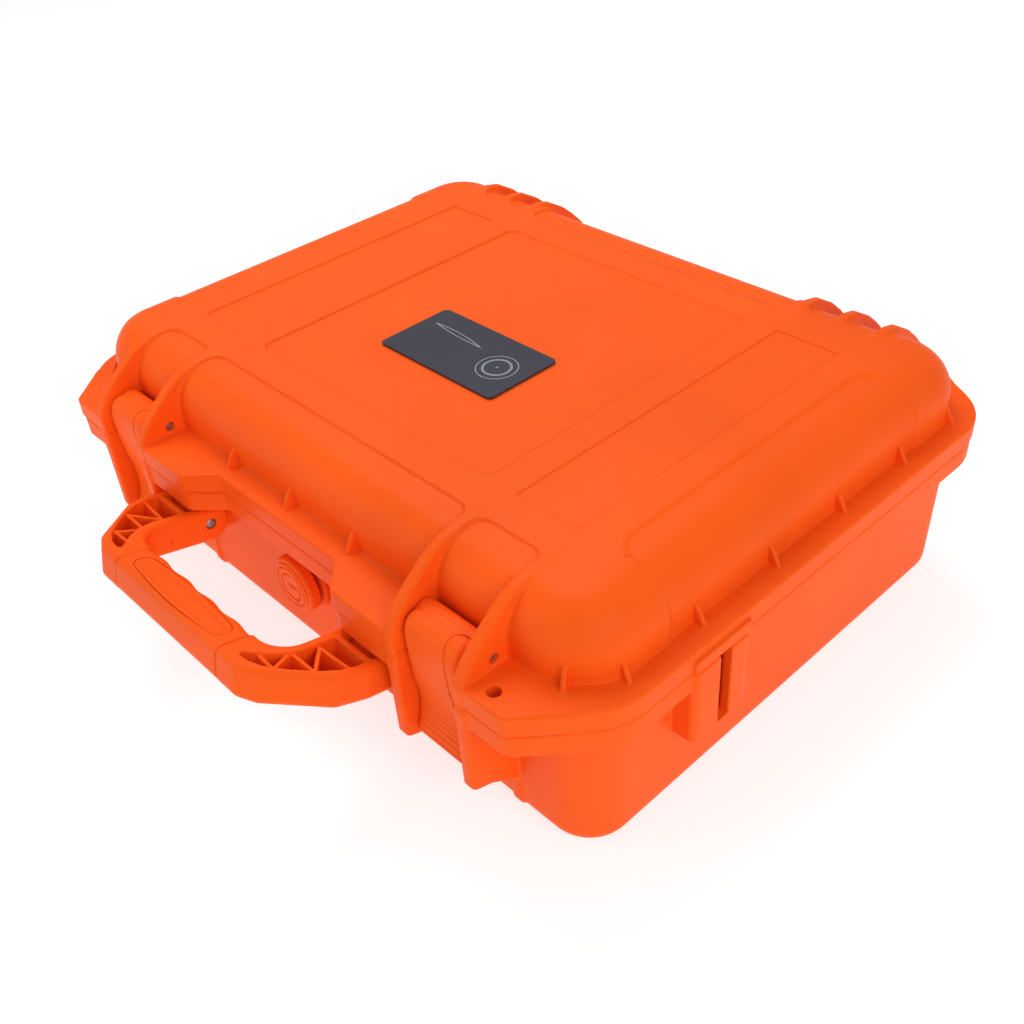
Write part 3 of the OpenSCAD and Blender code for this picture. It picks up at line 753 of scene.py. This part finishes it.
def make_print():
    """A plain dial and a slim pointed bar in fine light lines."""
    cx, cy = (label_low[:2] + label_high[:2]) / 2
    top = label_high[2] + 0.02
    turn = np.linspace(0, 2 * math.pi, 96, endpoint=False)
    lines = [(np.stack([21 + r * np.cos(turn), -1 + r * np.sin(turn)], 1), True)
             for r in (9.6, 6.8, 6.2, 0.35)]
    t = np.linspace(0, 1, 24)
    upper = np.stack([-31 + 34 * t, 8.2 + 1.6 * np.sin(math.pi * t) - 2.2 * t], 1)
    lower = np.stack([3 - 34 * t, 6.0 + 2.2 * t - 1.0 * np.sin(math.pi * t)], 1)
    lines.append((np.concatenate([upper[:-1], lower[:-1]]), True))
    points, faces = [], []
    for line, closed in lines:
        p, f = ribbon(line, 0.28, closed)
        base = len(points)
        points += [((cx + q[0]) * MM, (cy + q[1]) * MM, top * MM) for q in p]
        faces += [tuple(base + i for i in face) for face in f]
    mesh = bpy.data.meshes.new("label_print")
    mesh.from_pydata(points, [], faces)
    obj = bpy.data.objects.new("label_print", mesh)
    bpy.context.scene.collection.objects.link(obj)
    return obj


# ---------- camera, light and floor ----------

def add_camera():
    """The photograph's viewpoint, from the front right and above."""
    azimuth, elevation, roll = map(math.radians, (49.1022, 37.916, -4.5361))
    back = Vector((math.sin(azimuth) * math.cos(elevation), -math.cos(azimuth) * math.cos(elevation),
                   math.sin(elevation)))
    level = Vector((math.cos(azimuth), math.sin(azimuth), 0))
    upward = back.cross(level)
    right = level * math.cos(roll) + upward * math.sin(roll)
    up = upward * math.cos(roll) - level * math.sin(roll)
    data = bpy.data.cameras.new("camera")
    data.lens = 40.75
    data.sensor_width = 36
    data.clip_start = 0.01
    camera = bpy.data.objects.new("camera", data)
    camera.matrix_world = Matrix((
        (right.x, up.x, back.x, 0.3563), (right.y, up.y, back.y, -0.3119),
        (right.z, up.z, back.z, 0.3799), (0, 0, 0, 1)))
    bpy.context.scene.collection.objects.link(camera)
    bpy.context.scene.camera = camera


def area_light(name, place, target, size, watts, colour=(1, 1, 1)):
    data = bpy.data.lights.new(name, "AREA")
    data.shape = "RECTANGLE"
    data.size, data.size_y = size
    data.energy = watts
    data.color = colour
    light = bpy.data.objects.new(name, data)
    light.location = place
    light.rotation_mode = "QUATERNION"
    light.rotation_quaternion = (Vector(target) - Vector(place)).to_track_quat("-Z", "Y")
    bpy.context.scene.collection.objects.link(light)


def add_studio():
    world = bpy.data.worlds.new("studio")
    world.use_nodes = True
    world.node_tree.nodes["Background"].inputs["Color"].default_value = (1, 1, 1, 1)
    world.node_tree.nodes["Background"].inputs["Strength"].default_value = 0.44
    bpy.context.scene.world = world
    bpy.context.scene.view_settings.view_transform = "Standard"
    area_light("top_light", (-0.45, 0.25, 1.05), (0, 0, 0.1), (0.7, 0.7), 7.0)
    area_light("left_light", (-0.7, -1.0, 0.5), (0, 0, 0.08), (0.7, 0.7), 3.0)
    area_light("right_light", (1.15, -0.3, 0.7), (0, 0, 0.06), (0.8, 0.7), 6.4)
    bpy.ops.mesh.primitive_plane_add(size=14, location=(0, 0, 0))
    floor = bpy.context.object
    floor.name = "floor"
    material = bpy.data.materials.new("floor_paper")
    material.use_nodes = True
    shader = material.node_tree.nodes["Principled BSDF"]
    shader.inputs["Base Color"].default_value = (0.5, 0.5, 0.5, 1)
    shader.inputs["Roughness"].default_value = 0.9
    shader.inputs["Emission Color"].default_value = (1, 1, 1, 1)
    shader.inputs["Emission Strength"].default_value = 0.66
    floor.data.materials.append(material)


# ---------- materials ----------

def new_material(name, colour, roughness, spread=0.06, grain=0.03, grain_size=1400, **settings):
    """Moulded or machined surface: slow colour drift, uneven gloss and a fine grain."""
    material = bpy.data.materials.new(name)
    material.use_nodes = True
    nodes, links = material.node_tree.nodes, material.node_tree.links
    shader = nodes["Principled BSDF"]
    place = nodes.new("ShaderNodeTexCoord")
    drift = nodes.new("ShaderNodeTexNoise")
    drift.inputs["Scale"].default_value = 14
    drift.inputs["Detail"].default_value = 4
    links.new(place.outputs["Object"], drift.inputs["Vector"])
    tint = nodes.new("ShaderNodeValToRGB")
    tint.color_ramp.elements[0].position = 0.3
    tint.color_ramp.elements[1].position = 0.7
    tint.color_ramp.elements[0].color = (*[c * (1 - spread) for c in colour], 1)
    tint.color_ramp.elements[1].color = (*[min(1, c * (1 + spread)) for c in colour], 1)
    links.new(drift.outputs["Fac"], tint.inputs["Fac"])
    links.new(tint.outputs["Color"], shader.inputs["Base Color"])
    fine = nodes.new("ShaderNodeTexNoise")
    fine.inputs["Scale"].default_value = grain_size
    fine.inputs["Detail"].default_value = 3
    links.new(place.outputs["Object"], fine.inputs["Vector"])
    gloss = nodes.new("ShaderNodeMapRange")
    gloss.inputs["To Min"].default_value = roughness - 0.05
    gloss.inputs["To Max"].default_value = roughness + 0.05
    links.new(fine.outputs["Fac"], gloss.inputs["Value"])
    links.new(gloss.outputs["Result"], shader.inputs["Roughness"])
    bump = nodes.new("ShaderNodeBump")
    bump.inputs["Strength"].default_value = 1.0
    bump.inputs["Distance"].default_value = grain * MM
    links.new(fine.outputs["Fac"], bump.inputs["Height"])
    links.new(bump.outputs["Normal"], shader.inputs["Normal"])
    for key, value in settings.items():
        shader.inputs[key.replace("_", " ")].default_value = value
    return material


ORANGE = new_material("orange_plastic", (0.92, 0.105, 0.008), 0.42, Specular_IOR_Level=0.06)
STEEL = new_material("plain_steel", (0.33, 0.32, 0.32), 0.5, Metallic=1.0)
RUBBER = new_material("black_rubber", (0.015, 0.015, 0.015), 0.7)
FOAM = new_material("black_foam", (0.02, 0.02, 0.023), 0.95, grain=0.6, grain_size=900)
PLATE = new_material("dark_plate", (0.03, 0.029, 0.046), 0.4, Specular_IOR_Level=0.2)
PRINT = new_material("light_print", (0.45, 0.45, 0.48), 0.5)
SLOT_MATERIAL = {"shell_plastic": ORANGE, "steel": STEEL, "seal_rubber": RUBBER, "foam": FOAM,
                 "label": PLATE}


def dress(obj, slot_name, body, *nodes):
    obj.data.materials.clear()
    obj.data.materials.append(SLOT_MATERIAL[slot_name])
    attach(obj, body)
    if nodes:
        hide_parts(*nodes)


add_camera()
add_studio()
for part in frame["record"]["subparts"]:
    cad = frame["nodes"][part["node"]]
    cad.data.materials.clear()
    cad.data.materials.append(SLOT_MATERIAL[part["material_slot"]])

dress(make_lid(), "shell_plastic", "lid", "lid_shell")
dress(make_base(), "shell_plastic", "base", "base_shell")
tilted = Matrix.Translation((0, *PIVOT)) @ Matrix.Rotation(-TILT, 4, "X")
dress(make_handle(tilted), "shell_plastic", "handle", "handle_frame")
dress(make_grip(tilted), "shell_plastic", "handle", "handle_grip")
dress(make_inlay(tilted), "shell_plastic", "handle", "grip_inset")
dress(make_knob(), "shell_plastic", "valve", "valve_knob")
dress(make_seat(), "shell_plastic", "base", "valve_seat")
for side, word in ((-1, "left"), (1, "right")):
    latch = "latch_" + word
    dress(make_lever(latch, side * LATCH_X), "shell_plastic", latch, "latch_lever_" + word)
    dress(make_screw("pivot_screw_" + word, side), "steel", "base", "handle_screw_" + word)
    for kind, axis, body in (("latch", LATCH_AXIS, "lid"), ("hinge", HINGE_AXIS, "base")):
        node = kind + "_pin_" + word
        dress(make_pin(kind + "_axle_" + word, node, axis), "steel", body, node)
for foam, body, node in ((make_foam_pad(), "base", "foam_pad"), (make_foam_base(), "base", "foam_base"),
                         (make_foam_lid(), "lid", "foam_lid")):
    dress(foam, "foam", body, node)
label_print = make_print()
dress(label_print, "label", "lid")
label_print.data.materials.clear()
label_print.data.materials.append(PRINT)
